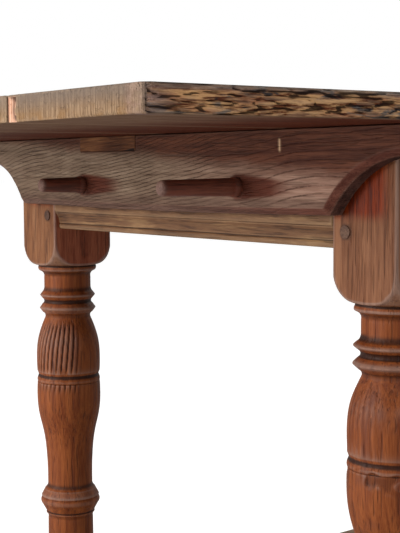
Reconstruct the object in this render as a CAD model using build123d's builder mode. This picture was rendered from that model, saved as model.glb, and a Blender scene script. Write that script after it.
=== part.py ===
"""A pin-top table: a plank top on cross battens, drawn down on a joined frame by four removable pins.

Millimetres. +X runs along the top, +Y across it and +Z up. The origin is on the floor under the middle.
"Front" is the end at -X, "near" the long side at -Y.
"""
from build123d import *
from math import acos, degrees, sin, sqrt
import os

# ---- overall sizes ----
TABLE_LENGTH = 1900
TABLE_HEIGHT = 838
FRAME_WIDTH = 762
END_OVERHANG = 352
SIDE_OVERHANG = 86

# ---- top ----
TOP_THICKNESS = 25
FIRST_PLANKS = (220, 238, 244)
SEAM_GAP = 0.8
CORNER_RADIUS = 20
SEAM_TENON_LENGTH = 60
SEAM_TENON_DEPTH = 38
SEAM_TENON_THICKNESS = 8

# ---- legs ----
LEG_BLOCK = 93
LEG_ARRIS = 4
TOP_BLOCK = 152
LOW_BLOCK = 84
FOOT_HEIGHT = 60
PATTERN_BLOCK = 93
PATTERN_LENGTH = 517
PATTERN_FOOT = 60

# ---- rails ----
RAIL_DEPTH = 125
RAIL_THICKNESS = 38
RAIL_TENON_THICKNESS = 13
RAIL_TENON_SETBACK = 13
RAIL_TENON_WEB = 17
RAIL_TENON_SHOULDER = 12
RAIL_TENON_FOOT = 6
RAIL_MOULDING = 24
RAIL_RECESS = 9

# ---- stretchers ----
STRETCHER_DEPTH = 58
STRETCHER_THICKNESS = 40
STRETCHER_SETBACK = 25
STRETCHER_TENON_DEPTH = 38
STRETCHER_TENON_THICKNESS = 13
STRETCHER_TENON_WEB = 13.5
STRETCHER_ARRIS = 4

# ---- drawbore pegs ----
PEG_DIAMETER = 13.5
PEG_POINT = 20
PEG_PROUD = 1.0
PEG_INSET = 20
END_PEG_DROP = 50
END_PEG_RISE = 18
SIDE_PEG_DROP = 32
SIDE_PEG_RISE = 39
STRETCHER_PEG_DIAMETER = 11
STRETCHER_PEG_POINT = 6.5
STRETCHER_PEG_INSET = 14

# ---- battens ----
BATTEN_DEPTH = 90
BATTEN_THICKNESS = 25
BATTEN_CHAMFER = 7
BATTEN_CURVE_RADIUS = 132
BATTEN_TIP_DEPTH = 30
BATTEN_TIP_LENGTH = 6
BATTEN_NEAR_FOOT = 16
BATTEN_FAR_FOOT = 54
RIB_HEIGHT = 9
RIB_ROOT = 12
RIB_CREST = 16
PATCH_LENGTH = 130
PATCH_DEPTH = 18
PATCH_THICKNESS = 5
PATCH_START = 331

# ---- pins ----
PIN_DIAMETER = 18
PIN_RISE = 28
PIN_NEAR_INSET = 128
PIN_FAR_INSET = 120
PIN_NEAR_HANDLE = 104
PIN_FAR_HANDLE = 64
PIN_COLLAR_DIAMETER = 23
PIN_COLLAR_LENGTH = 9
PIN_TIP_PROUD = 14
PIN_TIP_DIAMETER = 11

# ---- clearances ----
JOINT_CLEARANCE = 0.1
MORTISE_END_GAP = 1.5
PIN_CLEARANCE = 0.05
PIN_SEAT_GAP = 0.3
BATTEN_GAP = 0.8

# ---- derived sizes ----
UNDERSIDE = TABLE_HEIGHT - TOP_THICKNESS
TOP_WIDTH = FRAME_WIDTH + 2 * SIDE_OVERHANG
FRAME_LENGTH = TABLE_LENGTH - 2 * END_OVERHANG
END_SPAN = FRAME_WIDTH - 2 * LEG_BLOCK
SIDE_SPAN = FRAME_LENGTH - 2 * LEG_BLOCK
PLANK_WIDTHS = FIRST_PLANKS + (TOP_WIDTH - sum(FIRST_PLANKS),)
BATTEN_TOP = UNDERSIDE - BATTEN_GAP
BATTEN_FLOOR = UNDERSIDE - BATTEN_DEPTH
PIN_HEIGHT = BATTEN_FLOOR + PIN_RISE
BATTEN_RISE = BATTEN_DEPTH - BATTEN_TIP_DEPTH
BATTEN_CURVE_ANGLE = acos(1 - BATTEN_RISE / BATTEN_CURVE_RADIUS)
BATTEN_CURVE_RUN = BATTEN_CURVE_RADIUS * sin(BATTEN_CURVE_ANGLE)
BATTEN_NEAR_END = BATTEN_NEAR_FOOT + BATTEN_CURVE_RUN + BATTEN_TIP_LENGTH
BATTEN_FAR_END = BATTEN_FAR_FOOT + BATTEN_CURVE_RUN + BATTEN_TIP_LENGTH
TURNED_LENGTH = UNDERSIDE - TOP_BLOCK - LOW_BLOCK - FOOT_HEIGHT
RAIL_FLOOR = UNDERSIDE - RAIL_DEPTH
RAIL_TENON_REACH = RAIL_TENON_SETBACK + RAIL_TENON_THICKNESS
RAIL_TENON_LENGTH = LEG_BLOCK - RAIL_TENON_REACH - RAIL_TENON_WEB
STRETCHER_HEIGHT = FOOT_HEIGHT + LOW_BLOCK / 2
STRETCHER_INSET = STRETCHER_SETBACK + STRETCHER_THICKNESS / 2
STRETCHER_TENON_REACH = STRETCHER_INSET + STRETCHER_TENON_THICKNESS / 2
STRETCHER_TENON_LENGTH = LEG_BLOCK - STRETCHER_TENON_REACH - STRETCHER_TENON_WEB

# Each side of the frame: the way in from its outer face, how far out that face is, and the span between legs.
SIDES = {
    "front": (Vector(1, 0, 0), FRAME_LENGTH / 2, END_SPAN),
    "near": (Vector(0, 1, 0), FRAME_WIDTH / 2, SIDE_SPAN),
    "back": (Vector(-1, 0, 0), FRAME_LENGTH / 2, END_SPAN),
    "far": (Vector(0, -1, 0), FRAME_WIDTH / 2, SIDE_SPAN),
}
CORNERS = {
    "front_near": (-1, -1, ("front", "near")),
    "front_far": (-1, 1, ("front", "far")),
    "back_near": (1, -1, ("back", "near")),
    "back_far": (1, 1, ("back", "far")),
}


def side_face(side):
    """The plane of a side's outer face: local x along the side, local y up, its normal outwards."""
    inward, reach, span = SIDES[side]
    along = inward.cross(Vector(0, 0, 1))
    return Plane(origin=inward * -reach, x_dir=along, z_dir=inward * -1)


def side_section(side, overrun):
    """The plane across a side's rails: local x inwards, local y up, an overrun before the joint line."""
    inward, reach, span = SIDES[side]
    along = inward.cross(Vector(0, 0, 1))
    start = inward * -reach - along * (span / 2 + overrun)
    return Plane(origin=start, x_dir=inward, z_dir=along)


def save(solid, name):
    """Label a finished piece and write its file."""
    solid.label = name
    export_step(solid, f"parts/{name}.step")


def tenon_bar(side, kind, clearance):
    """A rail's or stretcher's tenons as one bar through both, or with a clearance their mortises."""
    if kind == "rail":
        reach = RAIL_TENON_LENGTH
        inset = RAIL_TENON_SETBACK + RAIL_TENON_THICKNESS / 2
        low = RAIL_FLOOR + RAIL_TENON_FOOT
        high = UNDERSIDE - RAIL_TENON_SHOULDER
        thickness = RAIL_TENON_THICKNESS
    else:
        reach = STRETCHER_TENON_LENGTH
        inset = STRETCHER_INSET
        low = STRETCHER_HEIGHT - STRETCHER_TENON_DEPTH / 2
        high = STRETCHER_HEIGHT + STRETCHER_TENON_DEPTH / 2
        thickness = STRETCHER_TENON_THICKNESS
    overrun = reach + (MORTISE_END_GAP if clearance else 0)
    with BuildPart(mode=Mode.PRIVATE) as bar:
        with BuildSketch(side_section(side, overrun)):
            with Locations((inset, (low + high) / 2)):
                Rectangle(thickness + 2 * clearance, high - low + 2 * clearance)
        extrude(amount=SIDES[side][2] + 2 * overrun)
    return bar.part


def peg_places(side, kind):
    """Local places of a side's drawbore pegs on its outer face."""
    span = SIDES[side][2]
    if kind == "stretcher":
        inset = STRETCHER_PEG_INSET
        heights = [STRETCHER_HEIGHT]
    else:
        inset = PEG_INSET
        at_end = side in ("front", "back")
        upper = UNDERSIDE - (END_PEG_DROP if at_end else SIDE_PEG_DROP)
        lower = RAIL_FLOOR + (END_PEG_RISE if at_end else SIDE_PEG_RISE)
        heights = [upper, lower]
    reach = span / 2 + inset
    return [(x, height) for x in (-reach, reach) for height in heights]


def pin_places(side):
    """Local places of an end's two pins, the long one first."""
    reach = END_SPAN / 2
    return [(reach - PIN_NEAR_INSET, PIN_HEIGHT), (PIN_FAR_INSET - reach, PIN_HEIGHT)]


os.makedirs("parts", exist_ok=True)


# ---- top: four planks, lined up by loose tenons ----
def seam_tenon_xs():
    """Where the loose tenons sit along every seam, clear of the batten housings."""
    outer = TABLE_LENGTH / 2 - END_OVERHANG / 2
    inner = FRAME_LENGTH / 4
    return (-outer, -inner, 0, inner, outer)


def seam_y(index):
    """The middle of the seam after a number of planks, counted from the near edge."""
    return sum(PLANK_WIDTHS[:index]) - TOP_WIDTH / 2


def make_plank(index):
    """One plank, with tenon slots at its seams and a dovetail housing over each batten."""
    low_y = seam_y(index) + (SEAM_GAP / 2 if index else 0)
    last = index == len(PLANK_WIDTHS) - 1
    high_y = seam_y(index + 1) - (0 if last else SEAM_GAP / 2)
    with BuildPart() as plank:
        with BuildSketch(Plane.XY.offset(UNDERSIDE)):
            with Locations((0, (low_y + high_y) / 2)):
                Rectangle(TABLE_LENGTH, high_y - low_y)
        extrude(amount=TOP_THICKNESS)
        if index == 0:
            fillet(plank.edges().filter_by(Axis.Z).group_by(Axis.Y)[0], CORNER_RADIUS)
        if last:
            fillet(plank.edges().filter_by(Axis.Z).group_by(Axis.Y)[-1], CORNER_RADIUS)
        housing_length = SIDE_OVERHANG + LEG_BLOCK + END_SPAN + BATTEN_NEAR_END + MORTISE_END_GAP
        for side in ("front", "back"):
            with BuildSketch(side_section(side, SIDE_OVERHANG + LEG_BLOCK)):
                add(rib_outline(JOINT_CLEARANCE))
            extrude(amount=housing_length, mode=Mode.SUBTRACT)
        seams = ([] if index == 0 else [index]) + ([] if last else [index + 1])
        for seam in seams:
            with Locations([(x, seam_y(seam), UNDERSIDE + TOP_THICKNESS / 2) for x in seam_tenon_xs()]):
                Box(
                    SEAM_TENON_LENGTH + 2 * JOINT_CLEARANCE,
                    2 * SEAM_TENON_DEPTH + 2 * MORTISE_END_GAP,
                    SEAM_TENON_THICKNESS + 2 * JOINT_CLEARANCE,
                    mode=Mode.SUBTRACT,
                )
    save(plank.part, f"top_plank_{index + 1}")


def rib_outline(clearance):
    """The batten's dovetail rib, or with a clearance its housing, in the side's section plane."""
    middle = -BATTEN_THICKNESS / 2
    root = RIB_ROOT / 2 + clearance
    crest = RIB_CREST / 2 + clearance
    foot = BATTEN_TOP
    with BuildSketch(mode=Mode.PRIVATE) as rib:
        with BuildLine():
            Polyline(
                (middle - root, foot),
                (middle + root, foot),
                (middle + root, UNDERSIDE),
                (middle + crest, UNDERSIDE + RIB_HEIGHT + clearance),
                (middle - crest, UNDERSIDE + RIB_HEIGHT + clearance),
                (middle - root, UNDERSIDE),
                close=True,
            )
        make_face()
    return rib.sketch


for index in range(len(PLANK_WIDTHS)):
    make_plank(index)

for seam in range(1, len(PLANK_WIDTHS)):
    with BuildPart() as seam_tenons:
        with Locations([(x, seam_y(seam), UNDERSIDE + TOP_THICKNESS / 2) for x in seam_tenon_xs()]):
            Box(SEAM_TENON_LENGTH, 2 * SEAM_TENON_DEPTH, SEAM_TENON_THICKNESS)
    save(seam_tenons.part, f"seam_tenons_{seam}")


# ---- legs: turned between centres from a square blank ----
def turned_outline():
    """Half the leg's profile, radius against height, with the turner's pattern drawn to the leg's size."""
    girth = LEG_BLOCK / PATTERN_BLOCK
    stretch = TURNED_LENGTH / PATTERN_LENGTH
    squat = FOOT_HEIGHT / PATTERN_FOOT
    blank = LEG_BLOCK / sqrt(2) + 1

    def at(radius, down):
        """A point of the turning, at a radius and a distance below the top block."""
        return (radius * girth, UNDERSIDE - TOP_BLOCK - down * stretch)

    def foot_at(radius, height):
        """A point of the foot, at a radius and a height above the floor."""
        return (radius * girth, height * squat)

    top_corner = (blank, at(0, 0)[1])
    low_corner = (blank, at(0, PATTERN_LENGTH)[1])
    foot_corner = (blank, FOOT_HEIGHT)
    with BuildLine() as outline:
        Polyline(foot_at(27, 0), (0, 0), (0, UNDERSIDE), (blank, UNDERSIDE), top_corner)
        # the top block's shoulder, its ring and the neck
        ThreePointArc(top_corner, at(61, 17), at(41.6, 28.5))
        ThreePointArc(at(41.6, 28.5), at(42.4, 32.5), at(40.6, 36.5))
        ThreePointArc(at(40.6, 36.5), at(35.4, 39.5), at(34, 46))
        Line(at(34, 46), at(34, 61))
        # two sharp beads and their coves
        ThreePointArc(at(34, 61), at(35.3, 65.5), at(38.6, 69.3))
        Line(at(38.6, 69.3), at(40.4, 71.2))
        ThreePointArc(at(40.4, 71.2), at(41.2, 72.4), at(40.4, 73.6))
        Line(at(40.4, 73.6), at(37, 77))
        ThreePointArc(at(37, 77), at(34.4, 81.2), at(37, 85.4))
        Line(at(37, 85.4), at(40.9, 90))
        ThreePointArc(at(40.9, 90), at(41.8, 91.4), at(40.9, 92.8))
        Line(at(40.9, 92.8), at(36.6, 97.4))
        ThreePointArc(at(36.6, 97.4), at(33, 101.8), at(33.4, 105.5))
        # the bulb, the groove and the narrow band
        Spline(at(33.4, 105.5), at(39, 119.5), at(44.6, 140), at(46.4, 164), at(46.2, 184))
        Polyline(at(46.2, 184), at(44.1, 189.4), at(45.9, 194))
        ThreePointArc(at(45.9, 194), at(46.4, 196.6), at(46.1, 199.2))
        Polyline(at(46.1, 199.2), at(45.0, 200), at(46.2, 200.8))
        # the long lower vase
        Spline(
            at(46.2, 200.8),
            at(46.5, 216),
            at(44.4, 245),
            at(37.7, 275),
            at(34, 305),
            at(32.8, 338),
            at(32.9, 352),
        )
        # the torus with its fine groove
        ThreePointArc(at(32.9, 352), at(34.3, 356.5), at(37.4, 360))
        Polyline(at(37.4, 360), at(42.6, 369.8), at(41.3, 371.6))
        ThreePointArc(at(41.3, 371.6), at(43.6, 376.5), at(41.6, 382))
        Polyline(at(41.6, 382), at(36.4, 391.6), at(34.5, 393.4))
        ThreePointArc(at(34.5, 393.4), at(36, 395.2), at(34.5, 397))
        ThreePointArc(at(34.5, 397), at(33.3, 400), at(33.3, 404))
        # the plain stem, the lowest ring and the low block's shoulder
        Line(at(33.3, 404), at(34, 495))
        ThreePointArc(at(34, 495), at(39.6, 499.5), at(34, 504))
        Line(at(34, 504), at(34, 506))
        ThreePointArc(at(34, 506), at(54, 510.5), low_corner)
        Line(low_corner, foot_corner)
        # the turned foot
        ThreePointArc(foot_corner, foot_at(50, 53), foot_at(36, 49))
        ThreePointArc(foot_at(36, 49), foot_at(31, 43), foot_at(34, 38))
        ThreePointArc(foot_at(34, 38), foot_at(43, 23), foot_at(31, 6))
        Line(foot_at(31, 6), foot_at(27, 0))
    return outline.line


def side_axis(side):
    """The axis that points out of a side."""
    return Axis((0, 0, 0), SIDES[side][0] * -1)


def peg_group(side, kind, clearance):
    """A side's drawbore pegs, or with a clearance the holes for them."""
    diameter = PEG_DIAMETER if kind == "rail" else STRETCHER_PEG_DIAMETER
    length = RAIL_TENON_REACH + PEG_POINT if kind == "rail" else STRETCHER_TENON_REACH + STRETCHER_PEG_POINT
    behind_batten = UNDERSIDE - BATTEN_DEPTH if side in ("front", "back") else UNDERSIDE
    with BuildPart(mode=Mode.PRIVATE) as pegs:
        for x, height in peg_places(side, kind):
            proud = -PEG_PROUD if height > behind_batten else PEG_PROUD
            with BuildSketch(side_face(side).offset(proud + 10 * clearance)):
                with Locations((x, height)):
                    Circle(diameter / 2 + clearance)
            extrude(amount=-(length + proud + 20 * clearance))
    return pegs.part


def make_leg(corner):
    """One leg, cut for the tenons and drawbore pegs of the two sides that meet at it."""
    x_sign, y_sign, sides = CORNERS[corner]
    x = x_sign * (FRAME_LENGTH - LEG_BLOCK) / 2
    y = y_sign * (FRAME_WIDTH - LEG_BLOCK) / 2
    with BuildPart() as leg:
        with BuildSketch(Plane(origin=(x, y, 0), x_dir=(1, 0, 0), z_dir=(0, -1, 0))):
            with BuildLine():
                add(turned_outline())
            make_face()
        revolve(axis=Axis((x, y, 0), (0, 0, 1)))
        with BuildSketch(Plane(origin=(x, y, 0))):
            RectangleRounded(LEG_BLOCK, LEG_BLOCK, LEG_ARRIS)
        extrude(amount=UNDERSIDE, mode=Mode.INTERSECT)
        for side in sides:
            for kind in ("rail", "stretcher"):
                add(tenon_bar(side, kind, JOINT_CLEARANCE), mode=Mode.SUBTRACT)
                add(peg_group(side, kind, JOINT_CLEARANCE), mode=Mode.SUBTRACT)
    save(leg.part, f"leg_{corner}")


for corner in CORNERS:
    make_leg(corner)


# ---- rails: a moulded board with a tenon at each end, bored for the pegs ----
def rail_outline():
    """The rail's section, setback from the outer face against height, with its moulded lower edge."""
    floor = RAIL_FLOOR
    flat = RAIL_FLOOR + RAIL_MOULDING
    with BuildLine() as outline:
        Polyline((0, flat), (0, UNDERSIDE), (RAIL_THICKNESS, UNDERSIDE), (RAIL_THICKNESS, floor))
        Line((RAIL_THICKNESS, floor), (RAIL_RECESS, floor))
        ThreePointArc((RAIL_RECESS, floor), (RAIL_RECESS - 2, floor + 3.6), (RAIL_RECESS, floor + 7.2))
        Line((RAIL_RECESS, floor + 7.2), (RAIL_RECESS - 1.6, floor + 8.6))
        ThreePointArc((RAIL_RECESS - 1.6, floor + 8.6), (5, flat - 6), (1.5, flat - 1.2))
        Line((1.5, flat - 1.2), (0, flat))
    return outline.line


def make_rail(side, name):
    """One rail, on the outer faces of its two legs."""
    span = SIDES[side][2]
    with BuildPart() as rail:
        with BuildSketch(side_section(side, 0)):
            with BuildLine():
                add(rail_outline())
            make_face()
        extrude(amount=span)
        add(tenon_bar(side, "rail", 0))
        add(peg_group(side, "rail", JOINT_CLEARANCE), mode=Mode.SUBTRACT)
        if side in ("front", "back"):
            with BuildSketch(side_face(side)):
                with Locations(pin_places(side)):
                    Circle(PIN_DIAMETER / 2 + PIN_CLEARANCE)
            extrude(amount=-RAIL_THICKNESS, mode=Mode.SUBTRACT)
    save(rail.part, name)


make_rail("front", "end_rail_front")
make_rail("back", "end_rail_back")
make_rail("near", "side_rail_near")
make_rail("far", "side_rail_far")


# ---- stretchers: low bars between the leg's lower blocks ----
def make_stretcher(side):
    """One stretcher, with its upper arrises rounded by feet."""
    span = SIDES[side][2]
    with BuildPart() as stretcher:
        with BuildSketch(side_section(side, 0)):
            with Locations((STRETCHER_INSET, STRETCHER_HEIGHT)):
                bar = Rectangle(STRETCHER_THICKNESS, STRETCHER_DEPTH)
            fillet(bar.vertices().group_by(Axis.Z)[-1], STRETCHER_ARRIS)
        extrude(amount=span)
        add(tenon_bar(side, "stretcher", 0))
        add(peg_group(side, "stretcher", JOINT_CLEARANCE), mode=Mode.SUBTRACT)
    save(stretcher.part, f"stretcher_{side}")


for side in SIDES:
    make_stretcher(side)

for side in SIDES:
    rail_name = "end_rail" if side in ("front", "back") else "side_rail"
    for kind, name in (("rail", rail_name), ("stretcher", "stretcher")):
        save(peg_group(side, kind, 0), f"{name}_pegs_{side}")


# ---- battens: shaped cross boards in front of the end rails, ribbed into the top ----
def batten_outline():
    """The batten's front view, along the end against height."""
    near_foot = END_SPAN / 2 + BATTEN_NEAR_FOOT
    far_foot = -END_SPAN / 2 - BATTEN_FAR_FOOT
    shoulder = BATTEN_FLOOR + BATTEN_RISE
    turn = degrees(BATTEN_CURVE_ANGLE)
    near_centre = (near_foot + BATTEN_CURVE_RUN, shoulder - BATTEN_CURVE_RADIUS)
    far_centre = (far_foot - BATTEN_CURVE_RUN, shoulder - BATTEN_CURVE_RADIUS)
    near_tip = near_centre[0] + BATTEN_TIP_LENGTH
    far_tip = far_centre[0] - BATTEN_TIP_LENGTH
    with BuildLine() as outline:
        CenterArc(near_centre, BATTEN_CURVE_RADIUS, 90, turn)
        Line((near_foot, BATTEN_FLOOR), (far_foot, BATTEN_FLOOR))
        CenterArc(far_centre, BATTEN_CURVE_RADIUS, 90, -turn)
        Polyline(
            (far_centre[0], shoulder),
            (far_tip, shoulder),
            (far_tip, BATTEN_TOP),
            (near_tip, BATTEN_TOP),
            (near_tip, shoulder),
            (near_centre[0], shoulder),
        )
    return outline.line


def patch_block(clearance):
    """The let-in patch, or with a clearance its recess, flush with the front batten's face."""
    face = side_face("front").offset(BATTEN_THICKNESS)
    middle = END_SPAN / 2 - PATCH_START - PATCH_LENGTH / 2
    with BuildPart(mode=Mode.PRIVATE) as patch:
        with BuildSketch(face):
            with Locations((middle, BATTEN_TOP - PATCH_DEPTH / 2)):
                Rectangle(PATCH_LENGTH + 2 * clearance, PATCH_DEPTH + 2 * clearance)
        extrude(amount=-(PATCH_THICKNESS + clearance))
    return patch.part


def make_batten(side):
    """One batten, with its rib, pin bores and worn front arris; the front one is cut for its patch."""
    with BuildPart() as batten:
        with BuildSketch(side_face(side)):
            with BuildLine():
                add(batten_outline())
            make_face()
        extrude(amount=BATTEN_THICKNESS)
        front = batten.faces().sort_by(side_axis(side))[-1]
        lower_edges = front.edges().sort_by(Axis.Z)[:3]
        chamfer(lower_edges, BATTEN_CHAMFER)
        with BuildSketch(side_section(side, BATTEN_FAR_END)):
            add(rib_outline(0))
        extrude(amount=BATTEN_FAR_END + END_SPAN + BATTEN_NEAR_END)
        with BuildSketch(side_face(side)):
            with Locations(pin_places(side)):
                Circle(PIN_DIAMETER / 2 + PIN_CLEARANCE)
        extrude(amount=BATTEN_THICKNESS, mode=Mode.SUBTRACT)
        if side == "front":
            add(patch_block(JOINT_CLEARANCE), mode=Mode.SUBTRACT)
    save(batten.part, f"batten_{side}")


make_batten("front")
make_batten("back")
save(patch_block(0), "batten_patch")


# ---- draw pins: whittled, with a collar that stops them at the batten's face ----
def make_pin(side, place, handle, name):
    """One pin on an end's face plane, its profile run out along its axis."""
    face = side_face(side)
    root = face.from_local_coords((place[0], place[1], 0))
    seat = BATTEN_THICKNESS + PIN_SEAT_GAP
    collar_end = seat + PIN_COLLAR_LENGTH
    end = BATTEN_THICKNESS + handle
    tip = -RAIL_THICKNESS - PIN_TIP_PROUD
    radius = PIN_DIAMETER / 2
    collar = PIN_COLLAR_DIAMETER / 2
    tip_radius = PIN_TIP_DIAMETER / 2
    round_off = radius / 2
    with BuildPart() as pin:
        with BuildSketch(Plane(origin=root, x_dir=face.z_dir, z_dir=face.x_dir)):
            with BuildLine():
                Polyline((end, 0), (tip, 0), (tip, tip_radius), (-RAIL_THICKNESS, radius), (seat, radius))
                Line((seat, radius), (seat, collar - 1))
                ThreePointArc((seat, collar - 1), ((seat + collar_end) / 2, collar), (collar_end, collar - 1))
                Polyline((collar_end, collar - 1), (collar_end, radius), (end - round_off, radius))
                RadiusArc((end - round_off, radius), (end, radius - round_off), round_off)
                Line((end, radius - round_off), (end, 0))
            make_face()
        revolve(axis=Axis(root, face.z_dir))
    save(pin.part, name)


for side, long_pin, short_pin in (("front", "near", "far"), ("back", "far", "near")):
    long_place, short_place = pin_places(side)
    make_pin(side, long_place, PIN_NEAR_HANDLE, f"pin_{side}_{long_pin}")
    make_pin(side, short_place, PIN_FAR_HANDLE, f"pin_{side}_{short_pin}")
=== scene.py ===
# %% [markdown]
# # An old pin-top table
# The bare frame of the table comes from its maker's drawings. This lesson dresses it: each board gets its
# worn arrises, each turned leg its dents and drying checks, and every piece the colour of oak that has
# stood for centuries. Two tools do nearly all of it. bmesh shapes the wood, and shader nodes stain it.

# %% Load the frame
import math

import bmesh
import bpy
import numpy as np
from mathutils import Matrix, Vector, noise


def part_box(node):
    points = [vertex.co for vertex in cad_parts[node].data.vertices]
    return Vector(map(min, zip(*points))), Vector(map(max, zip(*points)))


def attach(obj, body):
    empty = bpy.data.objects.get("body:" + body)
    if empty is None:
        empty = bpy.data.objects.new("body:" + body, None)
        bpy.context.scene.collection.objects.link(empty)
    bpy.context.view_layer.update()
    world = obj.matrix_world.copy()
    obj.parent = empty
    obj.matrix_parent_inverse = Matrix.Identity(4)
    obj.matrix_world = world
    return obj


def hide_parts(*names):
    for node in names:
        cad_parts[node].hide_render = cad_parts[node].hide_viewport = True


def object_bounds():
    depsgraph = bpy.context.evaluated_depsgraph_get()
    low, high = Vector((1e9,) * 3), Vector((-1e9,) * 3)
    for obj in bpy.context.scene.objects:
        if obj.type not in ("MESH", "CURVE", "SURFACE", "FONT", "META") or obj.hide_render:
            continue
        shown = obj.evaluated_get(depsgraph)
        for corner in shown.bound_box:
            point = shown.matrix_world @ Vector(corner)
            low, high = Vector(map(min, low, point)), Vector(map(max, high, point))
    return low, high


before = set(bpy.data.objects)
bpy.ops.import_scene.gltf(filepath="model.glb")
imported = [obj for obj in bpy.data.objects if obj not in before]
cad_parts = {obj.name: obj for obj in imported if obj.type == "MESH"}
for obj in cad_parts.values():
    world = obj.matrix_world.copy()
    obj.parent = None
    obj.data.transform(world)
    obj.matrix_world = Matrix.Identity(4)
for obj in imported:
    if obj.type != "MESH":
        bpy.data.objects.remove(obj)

MM = 0.001
cad_low, cad_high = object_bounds()
print("the frame holds", len(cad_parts), "pieces, from", tuple(cad_low), "to", tuple(cad_high))

# %% [markdown]
# A few places are used all through the lesson. They are read from the frame's own boxes, so the dressing
# follows the frame if its maker changes a size. "Front" is the end at -X and "near" the long side at -Y.

# %% Places in the frame
near_leg_low, near_leg_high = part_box("leg_front_near")
far_leg_low, far_leg_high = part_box("leg_front_far")
block = near_leg_high.x - near_leg_low.x
front_face = near_leg_low.x
near_joint = near_leg_high.y
far_joint = far_leg_low.y
underside = near_leg_high.z
top_face = cad_high.z
print("leg block", round(block / MM), "mm, underside at", round(underside / MM), "mm")

# %% [markdown]
# ## The camera
# The table is seen from low down, in front of one corner, a little under the top. The camera's place is
# measured from that corner's leg. A long lens keeps the verticals nearly true.

# %% Camera
CAMERA_FROM_CORNER = Vector((-0.8677, -0.9478, -0.0400))
CAMERA_YAW = 0.9362
CAMERA_PITCH = 0.0801
CAMERA_ROLL = 0.0060
LENS = 83.5

camera = bpy.data.objects.new("camera", bpy.data.cameras.new("camera"))
bpy.context.scene.collection.objects.link(camera)
camera.data.lens = LENS
corner = Vector((front_face, near_joint, underside))
aim = Matrix.Rotation(CAMERA_YAW - math.pi / 2, 4, "Z") @ Matrix.Rotation(math.pi / 2 - CAMERA_PITCH, 4, "X")
aim = aim @ Matrix.Rotation(-CAMERA_ROLL, 4, "Z")
camera.matrix_world = Matrix.Translation(corner + CAMERA_FROM_CORNER) @ aim
bpy.context.scene.camera = camera
print("camera at", tuple(round(v, 3) for v in camera.location))

# %% [markdown]
# ## Light
# A broad soft light stands ahead of the table's end and to the far side, so the pins throw their shadows
# towards the near side. A weaker one fills from the near side and a third lights the back. The world is
# white behind the table and dimmer as a light, which keeps the underside dark.

# %% Lights and world
bpy.context.scene.view_settings.view_transform = "Standard"


def area_light(name, place, target, size, power, colour):
    """A square soft light at a place, turned to its target."""
    lamp = bpy.data.objects.new(name, bpy.data.lights.new(name, "AREA"))
    lamp.data.shape = "SQUARE"
    lamp.data.size = size
    lamp.data.energy = power
    lamp.data.color = colour
    bpy.context.scene.collection.objects.link(lamp)
    towards = (Vector(target) - Vector(place)).to_track_quat("-Z", "Y")
    lamp.matrix_world = Matrix.Translation(Vector(place)) @ towards.to_matrix().to_4x4()


KEY_POWER = 105
KEY_SIZE = 1.5
KEY_PLACE = (-3.2, 0.9, underside + 0.45)
KEY_TARGET = (-0.5, 0, underside - 0.1)
SOFT_POWER = 30
SOFT_SIZE = 2.2
FILL_PLACE = (-1.2, -3.4, 1.5)
FILL_TARGET = (-0.4, 0, 0.6)
BEHIND_PLACE = (3.2, 1.5, 2.6)
BEHIND_TARGET = (0.4, 0, 0.6)
WORLD_LIGHT = 0.52
area_light("key", KEY_PLACE, KEY_TARGET, KEY_SIZE, KEY_POWER, (1.0, 0.97, 0.92))
area_light("fill", FILL_PLACE, FILL_TARGET, SOFT_SIZE, SOFT_POWER, (0.96, 0.98, 1.0))
area_light("behind", BEHIND_PLACE, BEHIND_TARGET, SOFT_SIZE, SOFT_POWER, (1.0, 0.98, 0.95))

world = bpy.data.worlds.new("studio")
bpy.context.scene.world = world
world.use_nodes = True
sky = world.node_tree.nodes["Background"]
seen = world.node_tree.nodes.new("ShaderNodeLightPath")
level = world.node_tree.nodes.new("ShaderNodeMapRange")
level.inputs["To Min"].default_value = WORLD_LIGHT
world.node_tree.links.new(seen.outputs["Is Camera Ray"], level.inputs["Value"])
world.node_tree.links.new(level.outputs["Result"], sky.inputs["Strength"])
sky.inputs["Color"].default_value = (1, 1, 1, 1)

# %% [markdown]
# ## Shader sums as plain expressions
# Wood needs a lot of arithmetic: stretch a noise along the grain, add a stain, keep it off the worn
# arrises. The small Wire class below wraps a node's output so that `1 - mask` or `fibre * 0.3 + streak`
# adds the Math nodes. Finish.node makes any other node from its type, its settings and the values of its
# sockets.


# %% The Wire and Finish classes
class Wire:
    """One value, vector or colour that runs between nodes."""

    def __init__(self, finish, socket):
        self.finish = finish
        self.socket = socket

    def sum(self, operation, first, second):
        return self.finish.node("ShaderNodeMath", {"operation": operation}, {0: first, 1: second})

    def __add__(self, other):
        return self.sum("ADD", self, other)

    def __radd__(self, other):
        return self.sum("ADD", other, self)

    def __sub__(self, other):
        return self.sum("SUBTRACT", self, other)

    def __rsub__(self, other):
        return self.sum("SUBTRACT", other, self)

    def __mul__(self, other):
        return self.sum("MULTIPLY", self, other)

    def __rmul__(self, other):
        return self.sum("MULTIPLY", other, self)

    def sine(self):
        return self.sum("SINE", self, 0.0)

    def size(self):
        return self.sum("ABSOLUTE", self, 0.0)

    def rise(self, start, end):
        """0 below start, 1 above end, and smooth between; start above end falls instead."""
        values = {"Value": self, "From Min": start, "From Max": end}
        return self.finish.node("ShaderNodeMapRange", {"interpolation_type": "SMOOTHSTEP"}, values)


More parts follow.
